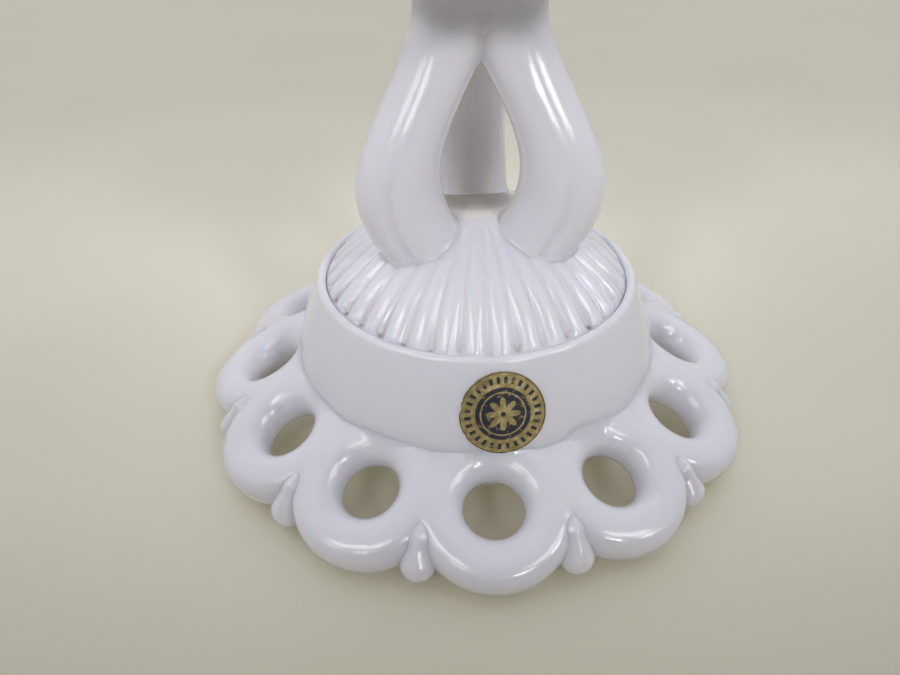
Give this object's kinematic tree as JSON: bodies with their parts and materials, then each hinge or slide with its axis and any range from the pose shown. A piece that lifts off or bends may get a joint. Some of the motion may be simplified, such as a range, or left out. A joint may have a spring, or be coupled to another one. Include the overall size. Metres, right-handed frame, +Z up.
{
  "type": "glass candlestick",
  "caption": "Pressed milk-glass candlestick: ring-and-petal lace edge foot, reeded dome, openwork three-legged stem, scalloped drip pan and taper socket.",
  "frame": {"origin": "on the table plane, under the centre of the foot", "axes": "+Z up along the stem; -Y is the front, the side with the foil label; one leg of the stem points to +Y"},
  "size_m": [0.1368, 0.1368, 0.1361],
  "materials": {
    "milk_glass": "opaque white pressed milk glass, glossy, fire polished",
    "gold_foil": "thin gold foil sticker with a dark printed centre"
  },
  "bodies": {
    "root": {"lace_edge": "milk_glass", "petals": "milk_glass", "base_drum": "milk_glass", "reeded_dome": "milk_glass", "stem_leg_left": "milk_glass", "stem_leg_right": "milk_glass", "stem_leg_rear": "milk_glass", "stem_neck": "milk_glass", "drip_pan": "milk_glass", "candle_cup": "milk_glass", "foil_label": "gold_foil"}
  },
  "joints": []
}
